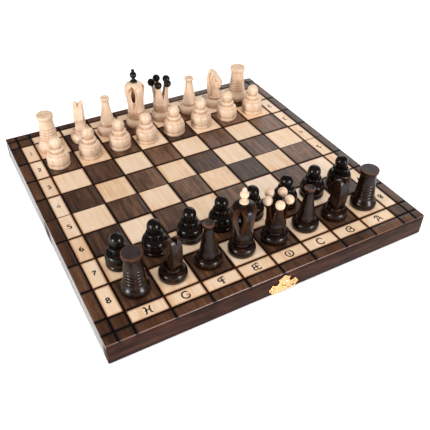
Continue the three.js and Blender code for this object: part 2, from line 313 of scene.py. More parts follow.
PALE = ramp("#D9B08A #E4C4A2 #E8CCB0 #EDD6BF")
BROWN = ramp("#28150A #42291A #583B29 #7B5840", STEEP)
FRAME = ramp("#2A160C #422818 #523422 #684630")
WALL = ramp("#24130D #382018 #482C22 #624136", STEEP)
# Arris ramp: paler for the rubbed-off stain, and lighter still as a painted highlight.
RUBBED_AND_HIGHLIT = ramp("#5A3A2C #6E4A3B #7E594A #94705F")

pale_square = plank_wood("lacquered_birch_ply", 1, PALE, 0.42, 0.5, "#8A5226")
dark_square = plank_wood("stained_birch_ply", 1, BROWN, 0.42, 0.5)
frame_strip = plank_wood("stained_strip", 1, FRAME, 0.42, 0.4)
wall_across = plank_wood("stained_frame_wood_across", 0, WALL, 0.5, 0.05)
wall_along = plank_wood("stained_frame_wood_along", 1, WALL, 0.14, 1.0)
rubbed_and_highlit_arris = plank_wood("rubbed_stained_arris", 0, RUBBED_AND_HIGHLIT, 0.3, 0.8)

# %% [markdown]
# The lines between the squares are burned in with a hot point. Charred wood is matt and nearly black, and
# the letters are burned the same way.


# %% Charred wood
def charred_wood(name, darkest, lightest):
    material = new_material(name)
    soot = grain(material, 2, 1.5 * MM, 1.5 * MM, 3.0)
    colour = add(material, "ValToRGB", {"Fac": soot}, [(0.35, darkest), (0.7, lightest)]).outputs[0]
    normal = bump(material, soot, 0.4, 0.1)
    return surface(material, colour, {"Roughness": 0.8, "Specular IOR Level": 0.1, "Normal": normal})


charred = charred_wood("charred_line", "#070505", "#140D0A")
burned_letter = charred_wood("burned_letter", "#0E0907", "#1E1511")

# %% [markdown]
# ### Turned hardwood
# Chessmen of this kind are turned from hornbeam. The natural ones are only lacquered, and the dark ones are
# stained nearly black. In the grooves of both sides the colour is darker: stain that pools there, with
# painted shade on top. On the dark ones the red-brown wood shows through where the edges are rubbed; on the
# natural ones the edges are painted lighter, a painted highlight. Each chessman carries a colour attribute
# called turning: red is high in a groove, green on a sharp edge. The grain of a turned piece runs up its
# axis. The two strengths say how much of the groove's and of the edge's colour shows.


# %% Turned wood
FIBRE_WIDTH = 0.7 * MM
FIBRE_LENGTH = 14 * MM
YEAR_RING_WIDTH = 4 * MM
YEAR_RING_LENGTH = 40 * MM
YEAR_RING_WAVE = 0.4
FIBRE_SHARE, YEAR_RING_SHARE = 0.4, 0.6


def turned_wood(name, stops, groove, edge, roughness, gloss, strengths):
    material = new_material(name)
    turning = add(material, "Attribute", attribute_name="turning").outputs["Color"]
    parts = add(material, "SeparateColor", {"Color": turning}).outputs
    fibres = grain(material, 2, FIBRE_WIDTH, FIBRE_LENGTH, 4.0)
    rings = grain(material, 2, YEAR_RING_WIDTH, YEAR_RING_LENGTH, 2.0, None, YEAR_RING_WAVE)
    mixed = maths(material, "MULTIPLY", fibres, FIBRE_SHARE)
    mixed = maths(material, "MULTIPLY_ADD", rings, YEAR_RING_SHARE, mixed)
    colour = add(material, "ValToRGB", {"Fac": mixed}, stops).outputs[0]
    # Groove tone: pooled stain and painted shade. Edge tone: rubbed wear on stained wood, painted highlight
    # on natural wood.
    for part, tone, strength in zip(parts, (groove, edge), strengths):
        painted_light_and_wear = maths(material, "MULTIPLY", part, strength, clamp=True)
        colour = mix_colours(material, painted_light_and_wear, colour, tone)
    return lacquered(material, colour, roughness, gloss, bump(material, fibres, 0.15, 0.05))


# In each finish the first extra colour is the groove's stain and painted shade, the second the edge's tone.
natural = turned_wood(
    "lacquered_hornbeam", ramp("#C9A384 #D8B99D #DEC2A8 #E6D0BA", GENTLE),
    "#A8682F", "#F2DFCC", 0.34, 0.45, (0.9, 0.3),
)
ebonised = turned_wood(
    "stained_hornbeam", ramp("#050303 #0B0604 #120A06 #24130A"),
    "#050302", "#8A4A1A", 0.27, 0.33, (0.6, 0.75),
)
ebonised_thin = turned_wood(
    "thinly_stained_hornbeam", ramp("#090403 #130805 #201007 #40200E"),
    "#050302", "#8F4C1C", 0.27, 0.28, (0.8, 0.9),
)

# %% [markdown]
# ### Metal and felt
# The clasp and hinges are stamped brass with a bright, slightly uneven lacquer. The pins are drawn steel
# wire. The inside is lined with thin felt, which is matt with a soft sheen at a low angle.


# %% Brass, steel and felt
def stamped_metal(name, stops, roughness, unevenness):
    material = new_material(name)
    dents = grain(material, 2, 0.8 * MM, 0.8 * MM, 3.0)
    colour = add(material, "ValToRGB", {"Fac": dents}, stops).outputs[0]
    normal = bump(material, dents, unevenness, 0.08)
    return surface(material, colour, {"Metallic": 1.0, "Roughness": roughness, "Normal": normal})


def felt_cloth():
    material = new_material("wool_felt")
    fluff = grain(material, 0, 0.4 * MM, 1.2 * MM, 4.0)
    colour = add(material, "ValToRGB", {"Fac": fluff}, [(0.3, "#26331F"), (0.7, "#465A38")]).outputs[0]
    normal = bump(material, fluff, 0.5, 0.2)
    return surface(material, colour, {"Roughness": 0.95, "Sheen Weight": 0.4, "Normal": normal})


brass = stamped_metal("stamped_brass", [(0.3, "#D59A58"), (0.7, "#F8D6A2")], 0.24, 0.5)
steel = stamped_metal("drawn_steel_wire", [(0.3, "#9A9A96"), (0.7, "#BDBDB8")], 0.35, 0.1)
felt = felt_cloth()
print("finishes:", len(bpy.data.materials))

# %% [markdown]
# ## The board
# Each half is a sheet of birch plywood, 4 mm thick, glued on a frame of four thin boards. The squares
# aren't inlaid: the sheet is whole, its dark cells are stained, and straight lines are burned along all the
# joins. So one cube is cut by planes at both sides of each line and at its middle, and the middle is then
# pushed down into a V. The wood is scorched for a short way beside a line, and a thin strip along the fold
# is darkened as painted shade of the gap where the two halves meet.

# %% Playing panels
LINE_WIDTH = 1.5
LINE_DEPTH = 0.45
SCORCH_WIDTH = 1.6
ARRIS = 0.7
LINES_X = [-RING_EDGE, *(i * SQUARE for i in range(-4, 5)), RING_EDGE]
LINES_Y = [SQUARE, 2 * SQUARE, 3 * SQUARE, PLAY_EDGE, RING_EDGE]
# Width and darkness of the painted shade of the gap along the fold.
FOLD_SHADE_WIDTH = 1.1
FOLD_SHADE_DARKNESS = 0.7
CELL_SEED = 64
ARRIS_SLOPE = 0.15
SMOOTH_PANEL = 32
PANEL_FINISHES = [pale_square, dark_square, frame_strip, wall_across, wall_along, charred, rubbed_and_highlit_arris]
PALE_SLOT, DARK_SLOT, STRIP_SLOT, ACROSS_SLOT, ALONG_SLOT, LINE_SLOT, ARRIS_SLOT = range(7)


def new_box(name, low, high):
    """A cube primitive between two corners, in metres."""
    bpy.ops.mesh.primitive_cube_add(size=1, location=(Vector(low) + Vector(high)) / 2)
    piece = bpy.context.object
    piece.name = name
    piece.scale = Vector(high) - Vector(low)
    bpy.ops.object.transform_apply(location=True, rotation=True, scale=True)
    return piece


def bevel_edges(piece, width, segments, wanted):
    """Round the edges of a piece for which wanted(one end, other end) is true."""
    edit(piece)
    bpy.ops.mesh.select_all(action="DESELECT")
    bpy.ops.mesh.select_mode(type="EDGE")
    mesh = bmesh.from_edit_mesh(piece.data)
    for edge in mesh.edges:
        edge.select_set(wanted(edge.verts[0].co, edge.verts[1].co))
    mesh.select_flush_mode()
    bmesh.update_edit_mesh(piece.data)
    bpy.ops.mesh.bevel(offset=width, offset_type="OFFSET", segments=segments, affect="EDGES")
    bpy.ops.mesh.select_mode(type="VERT")
    leave_edit()


def slice_at(piece, axis, places):
    """Cut a piece by planes across one axis, at places in mm, and leave its faces joined."""
    normal = Vector([float(i == axis) for i in range(3)])
    edit(piece)
    for place in places:
        bpy.ops.mesh.select_all(action="SELECT")
        bpy.ops.mesh.bisect(plane_co=normal * place * MM, plane_no=normal)
    leave_edit()


def cuts_for(lines):
    near = LINE_WIDTH / 2
    far = near + SCORCH_WIDTH
    return [line + offset for line in lines for offset in (-far, -near, 0, near, far)]


def distance_to(lines, place):
    return min(abs(place / MM - line) for line in lines)


def cell_number(place, lines):
    return sum(place / MM > line for line in lines)


def finish_of(x, y):
    """The panel finish for a place in metres: a square, the ring with the letters, or the outer strip."""
    x, y = x / MM, y / MM
    reach = max(abs(x), abs(y))
    if reach < PLAY_EDGE:
        column, row = math.floor(x / SQUARE), math.floor(y / SQUARE)
        return PALE_SLOT if (column + row) % 2 else DARK_SLOT
    if reach < RING_EDGE:
        return STRIP_SLOT if min(abs(x), abs(y)) > PLAY_EDGE else PALE_SLOT
    return STRIP_SLOT


def playing_panel(name, node, side):
    low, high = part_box(node)
    outer_y = (low if side < 0 else high).y
    piece = new_box(name, low, high)

    def arris(a, b):
        if min(a.z, b.z) < high.z - TINY:
            return abs(a.x - b.x) < TINY and abs(a.y - b.y) < TINY and abs(a.y - outer_y) < TINY
        same_x = abs(a.x - b.x) < TINY
        return same_x or abs(a.y - outer_y) + abs(b.y - outer_y) < TINY

    bevel_edges(piece, ARRIS * MM, 3, arris)
    lines_y = [side * line for line in LINES_Y]
    slice_at(piece, 0, cuts_for(LINES_X))
    slice_at(piece, 1, [*cuts_for(lines_y), side * FOLD_SHADE_WIDTH])
    mesh = piece.data
    for finish in PANEL_FINISHES:
        mesh.materials.append(finish)
    scorch = mesh.attributes.new("scorch", "FLOAT", "POINT")
    cell = mesh.attributes.new("cell", "FLOAT", "FACE")
    draw = random.Random(CELL_SEED + side)
    tones = {}
    for face in mesh.polygons:
        x, y, z = face.center
        near_line = min(distance_to(LINES_X, x), distance_to(lines_y, y))
        if z < high.z - 1.5 * ARRIS * MM:
            face.material_index = ACROSS_SLOT if abs(face.normal.y) > 0.5 else ALONG_SLOT
        # The front and back arris faces get the rubbed finish with its painted highlight.
        elif abs(y - outer_y) < ARRIS * MM and abs(face.normal.y) > ARRIS_SLOPE:
            face.material_index = ARRIS_SLOT
        elif near_line < LINE_WIDTH / 2:
            face.material_index = LINE_SLOT
        else:
            face.material_index = finish_of(x, y)
            key = (cell_number(x, LINES_X), cell_number(y, sorted(lines_y)))
            tones.setdefault(key, draw.random())
            cell.data[face.index].value = tones[key]
    for vertex in mesh.vertices:
        if vertex.co.z < high.z - 1.2 * ARRIS * MM:
            continue
        gap = min(distance_to(LINES_X, vertex.co.x), distance_to(lines_y, vertex.co.y))
        # A burned line gets its scorch, and the strip at the fold gets painted shade of the gap between the
        # halves.
        in_fold_shade = abs(vertex.co.y / MM) < FOLD_SHADE_WIDTH / 2
        scorch.data[vertex.index].value = 1.0 if gap < LINE_WIDTH / 2 + 0.01 else FOLD_SHADE_DARKNESS * in_fold_shade
        if gap < 0.01:
            vertex.co.z -= LINE_DEPTH * MM
    pick(piece)
    bpy.ops.object.shade_smooth_by_angle(angle=math.radians(SMOOTH_PANEL))
    return piece


for side, prefix in ((-1, "front"), (1, "back")):
    panel = playing_panel(prefix + "_panel", prefix + "_playing_panel", side)
    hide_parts(prefix + "_playing_panel")
    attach(panel, prefix + "_half")
    print(panel.name, len(panel.data.polygons), "faces")

# %% [markdown]
# Four more helpers serve for the rest of the set: one draws a Bezier curve, one fills a closed curve to a
# board, one welds and smooths a finished mesh, and one copies a piece to a new place. In a curve, a round
# knot flows into the next one and a sharp knot is a corner.

# %% Curves and copies
CURVE_STEPS = 5


def bezier(name, outline, closed=False):
    bpy.ops.curve.primitive_bezier_curve_add(location=(0, 0, 0))
    curve = bpy.context.object
    curve.name = name
    spline = curve.data.splines[0]
    spline.bezier_points.add(len(outline) - 2)
    spline.resolution_u = CURVE_STEPS
    spline.use_cyclic_u = closed
    for knot, (place, sharp) in zip(spline.bezier_points, outline):
        knot.co = place
        knot.handle_left_type = knot.handle_right_type = "VECTOR" if sharp else "AUTO"
    return curve


def fill_between(curve, half_depth, rounding=0, steps=0):
    """Turn a closed flat curve into a board, with its thickness and the rounding of its arris in mm."""
    curve.data.dimensions = "2D"
    curve.data.fill_mode = "BOTH"
    curve.data.extrude = (half_depth - rounding) * MM
    curve.data.bevel_depth = rounding * MM
    curve.data.bevel_resolution = steps
    curve.data.offset = -rounding * MM


def tidy_mesh(piece, angle=35):
    """Weld doubles, point the faces outwards and smooth all but the sharp edges."""
    edit(piece)
    bpy.ops.mesh.remove_doubles(threshold=0.002 * MM)
    bpy.ops.mesh.normals_make_consistent(inside=False)
    leave_edit()
    pick(piece)
    bpy.ops.object.shade_smooth_by_angle(angle=math.radians(angle))
    return piece


def copy_of(piece, name, place):
    """A copy with its own mesh, moved by a matrix."""
    made = bpy.data.objects.new(name, piece.data.copy())
    bpy.context.scene.collection.objects.link(made)
    made.data.transform(place)
    return made

# %% [markdown]
# The coordinates in the pale ring are burned in by hand with the same hot point, in an old book letter: the
# point presses less at both ends of a stroke. So every stroke is a Bezier curve with a round section that
# is thin at its ends. It is pressed flat to a film that just covers the wood. Each letter is drawn once,
# in hundredths of its height, and copied; the far side's letters are turned round so that the other
# player can read them.

# %% Coordinates
LETTER_HEIGHT = 7.2
NUMBER_HEIGHT = 5.4
STROKE_R = 0.55
STROKE_END = 0.6
STROKE_MIDDLE = 1.15
FILM = 0.05
SHARP_GLYPHS = "14"
GLYPHS = {
    "H": [
        [(2, 85), (18, 98), (30, 85), (28, 45), (20, 8), (2, 5)],
        [(98, 98), (80, 90), (74, 50), (76, 12), (95, 2)],
        [(10, 42), (40, 52), (80, 52)],
    ],
    "G": [
        [(86, 80), (62, 97), (30, 92), (10, 66), (10, 32), (32, 6), (62, 4),
         (84, 16), (86, 46)],
        [(60, 46), (100, 46)],
    ],
    "F": [
        [(48, 95), (46, 50), (50, 5)], [(62, 90), (60, 10)],
        [(46, 92), (15, 80), (10, 58), (35, 46), (48, 52)],
        [(40, 95), (75, 97), (98, 82)], [(60, 52), (90, 56)], [(35, 3), (75, 3)],
    ],
    "E": [
        [(54, 95), (52, 50), (56, 5)],
        [(46, 95), (12, 80), (16, 55), (45, 50)],
        [(45, 50), (12, 42), (10, 15), (45, 4)],
        [(40, 95), (75, 97), (98, 82)], [(60, 52), (90, 56)],
        [(50, 5), (80, 3), (100, 20)],
    ],
    "D": [
        [(50, 97), (12, 80), (4, 50), (14, 18), (50, 3), (86, 18), (96, 50),
         (86, 80), (50, 97)],
        [(42, 75), (50, 50), (42, 22)],
    ],
    "C": [
        [(86, 80), (62, 97), (30, 92), (8, 62), (10, 32), (34, 5), (66, 4),
         (90, 22)],
        [(88, 92), (86, 66)],
    ],
    "B": [
        [(42, 95), (12, 75), (8, 50), (14, 22), (42, 4)], [(42, 92), (40, 8)],
        [(30, 95), (68, 97), (86, 76), (66, 54), (42, 52)],
        [(42, 52), (80, 50), (96, 26), (74, 4), (30, 4)],
    ],
    "A": [
        [(5, 8), (16, 2), (32, 30), (52, 95)],
        [(40, 97), (60, 92), (78, 30), (96, 5)],
        [(22, 36), (80, 36)], [(5, 62), (14, 80), (36, 92), (52, 95)],
    ],
    "1": [[(15, 78), (38, 98), (38, 2)], [(20, 2), (56, 2)]],
    "2": [
        [(10, 75), (30, 97), (58, 85), (52, 55), (12, 5)],
        [(10, 5), (40, 8), (66, 3)],
    ],
    "3": [
        [(12, 90), (40, 97), (56, 78), (34, 56)],
        [(34, 56), (62, 42), (56, 10), (10, 6)],
    ],
    "4": [[(46, 97), (6, 32), (68, 32)], [(48, 60), (46, 2)]],
    "5": [
        [(58, 96), (20, 94), (16, 56)],
        [(16, 56), (46, 60), (62, 34), (46, 5), (10, 8)],
    ],
    "6": [[(52, 96), (22, 72), (10, 36), (26, 5), (54, 10), (62, 34), (42, 52),
           (14, 40)]],
    "7": [[(8, 92), (36, 96), (64, 94), (42, 50), (28, 2)], [(26, 50), (56, 54)]],
    "8": [[(34, 53), (12, 74), (34, 97), (56, 74), (34, 53), (6, 28), (34, 3),
           (62, 28), (34, 53)]],
}


def glyph(sign, height):
    """A burned letter or number, flat on the XY plane, with its middle on the origin."""
    strokes = [[(x / 100, y / 100) for x, y in stroke] for stroke in GLYPHS[sign]]
    sharp = sign in SHARP_GLYPHS
    across = [x for stroke in strokes for x, _ in stroke]
    middle = Vector(((min(across) + max(across)) / 2, 0.5, 0))
    made = []
    for stroke in strokes:
        curve = bezier("stroke", [((Vector((x, y, 0)) - middle) * height * MM, sharp) for x, y in stroke])
        points = curve.data.splines[0].bezier_points
        for i, point in enumerate(points):
            point.radius = STROKE_END if i in (0, len(points) - 1) else STROKE_MIDDLE
        curve.data.bevel_depth = STROKE_R * MM
        curve.data.bevel_resolution = 1
        curve.data.use_fill_caps = True
        bpy.ops.object.convert(target="MESH")
        made.append(bpy.context.object)
    piece = join("glyph_" + sign, made)
    piece.data.transform(Matrix.Diagonal((1, 1, FILM / STROKE_R / STROKE_MIDDLE, 1)))
    return tidy_mesh(piece)


halves = {"front": [], "back": []}
middle_of_ring = PLAY_EDGE + RING / 2
for i in range(8):
    along = (i - 3.5) * SQUARE
    letter, number = glyph(FILES[i], LETTER_HEIGHT), glyph(str(8 - i), NUMBER_HEIGHT)
    places = [(letter, along, -middle_of_ring, 0), (letter, along, middle_of_ring, 180),
              (number, -middle_of_ring, along, 0), (number, middle_of_ring, along, 180)]
    for sign, x, y, turn in places:
        place = Matrix.Translation(Vector((x * MM, y * MM, BOARD_TOP)))
        half = halves["front" if y < 0 else "back"]
        half.append(copy_of(sign, "burned", place @ Matrix.Rotation(math.radians(turn), 4, "Z")))
    bpy.data.objects.remove(letter)
    bpy.data.objects.remove(number)
for prefix, signs in halves.items():
    marks = join(prefix + "_coordinates", signs)
    marks.data.materials.append(burned_letter)
    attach(marks, prefix + "_half")
    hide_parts(prefix + "_playing_panel")
    print(marks.name, len(marks.data.polygons), "faces")

# %% [markdown]
# The walls are thin boards with a softly rounded arris. Their grain runs along the wall, so the outer and
# the fold walls use the finish across the board, and the two side walls the finish along it. Nothing of a
# fold wall shows but flat faces, so the frame's plain solid stays and only gets its finish.

# %% Walls
WALL_ARRIS = 0.6
SMOOTH_WALL = 40


def wall_board(prefix, place, finish):
    node = f"{prefix}_{place}_wall"
    low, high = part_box(node)
    piece = new_box(f"{prefix}_{place}_board", low, high)
    at_rim = lambda a, b: max(a.z, b.z) < low.z + TINY
    upright = lambda a, b: abs(a.z - b.z) > TINY and abs(abs(a.x) - cad_high.x) < TINY
    bevel_edges(piece, WALL_ARRIS * MM, 2, lambda a, b: at_rim(a, b) or upright(a, b))
    pick(piece)
    bpy.ops.object.shade_smooth_by_angle(angle=math.radians(SMOOTH_WALL))
    piece.data.materials.append(finish)
    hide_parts(node)
    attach(piece, prefix + "_half")


for prefix in ("front", "back"):
    wall_board(prefix, "outer", wall_across)
    wall_board(prefix, "left", wall_along)
    wall_board(prefix, "right", wall_along)
    fold_wall = frame["nodes"][prefix + "_fold_wall"]
    fold_wall.data.materials.clear()
    fold_wall.data.materials.append(wall_across)

# %% [markdown]
# ## Chessmen
# A turned piece is drawn as half of its outline and then spun round its axis, which is what the lathe does.
# The outline is a Bezier curve: a round knot flows into the next one, and a sharp knot is a corner that the
# turner's chisel leaves. A fine ring groove is three sharp knots. Long straight stretches are divided, so
# that the groove and edge tones, stain and wear with painted shade and painted highlight, can end close to
# an edge.

# %% Outlines and spinning
SPIN_STEPS = 56
LONGEST_STEP = 0.9
STEP_CUTS = 4


def knots(*points):
    """Outline knots from (radius, height) in mm. A third value of 1 makes the knot sharp."""
    return [(Vector((p[0], 0, p[1])) * MM, len(p) > 2) for p in points]


def groove(radius, height, depth=0.45, width=0.9):
    """The three sharp knots of a ring groove."""
    return [(radius, height - width / 2, 1), (radius - depth, height, 1), (radius, height + width / 2, 1)]


def spun(name, outline, steps=SPIN_STEPS):
    """Spin an outline that starts and ends on the axis round Z."""
    piece = bezier(name, outline)
    bpy.ops.object.convert(target="MESH")
    edit(piece)
    bpy.ops.mesh.select_all(action="DESELECT")
    bpy.ops.mesh.select_mode(type="EDGE")
    mesh = bmesh.from_edit_mesh(piece.data)
    for edge in mesh.edges:
        edge.select_set(edge.calc_length() > LONGEST_STEP * MM)
    bmesh.update_edit_mesh(piece.data)
    bpy.ops.mesh.subdivide(number_cuts=STEP_CUTS)
    bpy.ops.mesh.select_mode(type="VERT")
    bpy.ops.mesh.select_all(action="SELECT")
    bpy.ops.mesh.spin(steps=steps, angle=2 * math.pi, center=(0, 0, 0), axis=(0, 0, 1))
    leave_edit()
    return tidy_mesh(piece)


def cut(piece, cutter, operation="DIFFERENCE"):
    """Cut one piece by another, or join them, and delete the cutter."""
    pick(piece)
    modifier = piece.modifiers.new("cut", "BOOLEAN")
    modifier.operation = operation
    modifier.object = cutter
    modifier.solver = "EXACT"
    modifier.material_mode = "TRANSFER"
    bpy.ops.object.modifier_apply(modifier=modifier.name)
    bpy.data.objects.remove(cutter)


def spin_matrix(degrees, axis="Z"):
    return Matrix.Rotation(math.radians(degrees), 4, axis)


# %% [markdown]
# All the shapes but the pawn share one foot, a fat ring that gives a piece its weight at the bottom, and
# all but the pawn and the rook share the neck above it. Each piece is made once here, round the world's
# axis, and its copies are placed afterwards. The outlines of the queen, king and knight are used in the
# cells that cut them.

# %% Turned shapes
FOOT = [(0, 0, 1), (10.7, 0, 1), (11.2, 0.7, 1), (11.8, 3.6), (11.4, 6.3), (10.1, 8.3), (8.6, 9.1, 1)]
NECK = [(7.1, 9.3, 1), (6.8, 10.4), (7, 11.5, 1)]

PAWN = knots(
    (0, 0, 1), (10.4, 0, 1), (10.9, 0.5, 1), (11.2, 1.8), (11, 3.2, 1), (10.55, 3.7, 1), (10.75, 4.3, 1),
    (11.15, 6.2), (11.2, 8.6), (10.9, 11), (10.2, 12.9), *groove(9.75, 13.7, 0.25, 0.5), (9.1, 14.4),
    (8, 15.1, 1), (6.3, 15.6, 1), (6.2, 16.3), (6.7, 17.1), (7.3, 18.2), (7.2, 19.3), (6.2, 20.1, 1),
    (4.6, 20.6, 1), (5.6, 22.6), (5.95, 25.2), (5.4, 28), (4, 30), (2, 31.1), (0, 31.4),
)

ROOK = knots(
    *FOOT[:5], (10, 8.8), (9.2, 10.6), (8.9, 12), *groove(8.75, 13, 0.35), *groove(8.5, 16, 0.3),
    *groove(8.25, 19, 0.35), *groove(8.05, 22, 0.3), *groove(7.8, 25, 0.3), (7.3, 29), (7.1, 32),
    (7.1, 34.6, 1), (7.7, 35.8, 1), (8.2, 36.3, 1), (8.35, 37.3), (8.3, 38.9, 1), (8, 39.2, 1), (0, 39.1, 1),
)

BISHOP = knots(
    *FOOT, *NECK, (7.9, 12, 1), (7.8, 12.7), (7.4, 14), (6.4, 19), (5.1, 26), (4.1, 33), (3.6, 36.6),
    (3.7, 37.4, 1), (4.4, 38.4, 1), (4.8, 39.2), (4.8, 40.9, 1), (4.4, 41.4, 1), (3.6, 41.3, 1), (2, 40.7),
    (0, 40.6, 1),
)

KNIGHT_FOOT = knots(*FOOT, *NECK, (8, 11.7, 1), (8.1, 12.1), (7.8, 12.4, 1), (0, 12.4, 1))

QUEEN = knots(
    *FOOT, *NECK, (8.2, 12, 1), (8.5, 12.7), *groove(8.65, 14), *groove(8.75, 16), *groove(8.75, 18),
    (8.5, 19.6), (8.3, 22), (8.6, 30), (9.2, 36), (10, 41.4, 1), (9.2, 41.8, 1), (0, 41.8, 1),
)

KING = knots(
    *FOOT, *NECK, (8.5, 12, 1), (8.9, 12.8), *groove(9, 14), *groove(9.15, 16), *groove(9.2, 18),
    (9, 20), (8.65, 22.6), (8.6, 25), (9.1, 30), (10.2, 36), (10.9, 41), (10.6, 44.4), (9.4, 47.2), (7, 49.3),
    (4, 50.3), (3, 50.4, 1), (0, 50.4, 1),
)

pawn = spun("pawn", PAWN)
rook = spun("rook", ROOK)
bishop = spun("bishop", BISHOP)
LOOKS_UP = 0.8


def mark_end_grain(piece, height):
    """Keep a second slot for the finish of the faces that look up, above a height in mm."""
    piece.data.materials.append(None)
    piece.data.materials.append(None)
    for face in piece.data.polygons:
        face.material_index = int(face.center.z > height * MM and face.normal.z > LOOKS_UP)


mark_end_grain(rook, 38)
mark_end_grain(bishop, 40)
print("faces of a pawn, rook, bishop:", *[len(p.data.polygons) for p in (pawn, rook, bishop)])

# %% [markdown]
# The queen's head is bored out and then sawn into five prongs, each of which carries a bead of the other
# colour. The king's head is hollow too, and a milling wheel with a V edge opens four pointed windows into
# it. All these cuts are boolean differences, and a cut face gets a finish of its own because bare sawn wood
# takes up more stain. So does the flat end grain on top of a rook and a bishop, which is darker and more
# matt than the turned side. On the natural side the inside of a bore is painted dark brown, as painted
# shade inside the hollow.

# %% Sawn finishes
# Here too the groove colour is stain with painted shade; the paler edge colours of the natural ones are
# painted highlights.
sawn_natural = turned_wood(
    "sawn_hornbeam", ramp("#B07A48 #CC9D6A #E0B98C #ECD0AC"),
    "#8A5630", "#EBCFA6", 0.6, 0.2, (0.8, 0.4),
)
# The bore of a natural piece: its dark brown is painted shade inside the hollow.
bored_natural_painted_shade = turned_wood(
    "bored_hornbeam", ramp("#6E4222 #875630 #9C6A40 #B08054"),
    "#5C3418", "#C89A6C", 0.6, 0.2, (0.8, 0.3),
)
sawn_ebonised = turned_wood(
    "sawn_stained_hornbeam", ramp("#140A06 #22130B #331C10 #4A2A17"),
    "#0C0705", "#7A4520", 0.3, 0.3, (0.6, 0.2),
)
end_natural = turned_wood(
    "hornbeam_end_grain", ramp("#C39D7A #D2B091 #DCBD9F #E6CBB0"),
    "#A8703C", "#F3DDC6", 0.55, 0.3, (0.5, 0.5),
)
end_ebonised = turned_wood(
    "stained_hornbeam_end_grain", ramp("#1E1614 #2A201E #342927 #40332F"),
    "#150B06", "#7A4520", 0.5, 0.4, (0.5, 0.5),
)

# %% [markdown]
# A boolean can fail where a cut runs exactly along a row of points, so a blank is first turned a little on
# its axis.

# %% Queen
PRONGS = 5
BLANK_TURN = 1.7
queen = spun("queen", QUEEN)
queen.data.transform(spin_matrix(BLANK_TURN))
queen.data.materials.append(natural)


def cutter(piece, finish, place=None):
    """Give a cutting piece its place, and the finish that it leaves on the faces it cuts."""
    if place is not None:
        piece.data.transform(place)
    piece.data.materials.clear()
    piece.data.materials.append(finish)
    return piece


SLIT_R = 8
SLIT = [(0, 24, 0), (4, 43.2, 0), (-4, 43.2, 0)]
BORE = knots((0, 23.6, 1), (3, 25), (5.6, 29), (6.5, 35), (6.8, 46, 1), (0, 46, 1))
cut(queen, cutter(spun("bore", BORE), sawn_ebonised))
for i in range(PRONGS):
    slit = bezier("slit", [(Vector(corner) * MM, True) for corner in SLIT], closed=True)
    fill_between(slit, 6)
    bpy.ops.object.convert(target="MESH")
    tidy_mesh(slit)
    outwards = Matrix.Translation((SLIT_R * MM, 0, 0)) @ spin_matrix(90) @ spin_matrix(90, "X")
    cut(queen, cutter(slit, sawn_natural, spin_matrix((i + 0.5) * 360 / PRONGS) @ outwards))
tidy_mesh(queen)
print("faces of a queen:", len(queen.data.polygons))

# %% King
king = spun("king", KING)
king.data.transform(spin_matrix(BLANK_TURN))
king.data.materials.append(natural)
HOLLOW = knots((0, 24, 1), (3.6, 25.4), (5.9, 29), (6.4, 34), (6.4, 40), (5.2, 44.4), (3, 46.4), (0, 47))
WINDOWS = 4
WINDOW_HEIGHT = 36
WINDOW_BOTTOM_R = 4.3
WHEEL_R = 26
WHEEL_HALF = 31
WHEEL_STEPS = 96
WHEEL = knots((0, -WHEEL_HALF, 1), (WHEEL_R, 0, 1), (0, WHEEL_HALF, 1))
cut(king, cutter(spun("hollow", HOLLOW), sawn_ebonised))
for i in range(WINDOWS):
    beside = Vector((WHEEL_R + WINDOW_BOTTOM_R, 0, WINDOW_HEIGHT)) * MM
    place = spin_matrix(360 / WINDOWS * i) @ Matrix.Translation(beside) @ spin_matrix(90, "X")
    cut(king, cutter(spun("wheel", WHEEL, WHEEL_STEPS), sawn_natural, place))
tidy_mesh(king)
print("faces of a king:", len(king.data.polygons))

# %% [markdown]
# The knight isn't turned above its foot: its head is sawn from a thin board. A V is cut between the ears,
# and the mane, the eye and the mouth are carved into both sides with a gouge, so they are bent tubes that
# cut away a shallow channel.

# %% Knight
HEAD_THICKNESS = 9.4
HEAD_ROUND = 0.5
EAR_V_BOTTOM = 37.8
EAR_V_TOP = 44
EAR_V_HALF = 3.2


def side_outline(*points):
    """Knots of an outline in the XY plane, in mm. A third value of 1 makes the knot sharp."""
    return [(Vector((p[0], p[1], 0)) * MM, len(p) > 2) for p in points]


def gouge(name, route, radius):
    """A tube along a route in the XY plane, to carve a channel with."""
    tube = bezier(name, side_outline(*route))
    tube.data.bevel_depth = radius * MM
    tube.data.bevel_resolution = 2
    tube.data.use_fill_caps = True
    bpy.ops.object.convert(target="MESH")
    return tidy_mesh(tube)


HEAD = side_outline(
    (-5.6, 11.6, 1), (5.4, 11.6, 1), (5.9, 15.5), (4.4, 19.6), (3.9, 22.4, 1), (5.4, 23.4), (7.2, 24.2),
    (8.3, 26.2), (7.9, 28.8), (6.4, 31.4), (4, 34.8), (2.2, 37.6), (0.6, 39.4, 1), (-1.9, 41.2, 1),
    (-4.9, 42.4, 1), (-6.6, 40), (-8, 35), (-8.4, 29), (-8, 22), (-7.2, 15.5),
)
CARVING = [
    ([(-3.8, 41), (-4.9, 35), (-4.4, 29), (-2.2, 23), (-2.6, 17), (-4, 13)], 0.65),
    ([(1.4, 38), (-1.6, 34.4), (-2, 30), (0.2, 26.4), (0.8, 22)], 0.45),
    ([(1.4, 33.6), (2.2, 32), (2.6, 30.4)], 0.7),
    ([(9, 26), (6.6, 26.4), (4.4, 27.4)], 0.45),
]

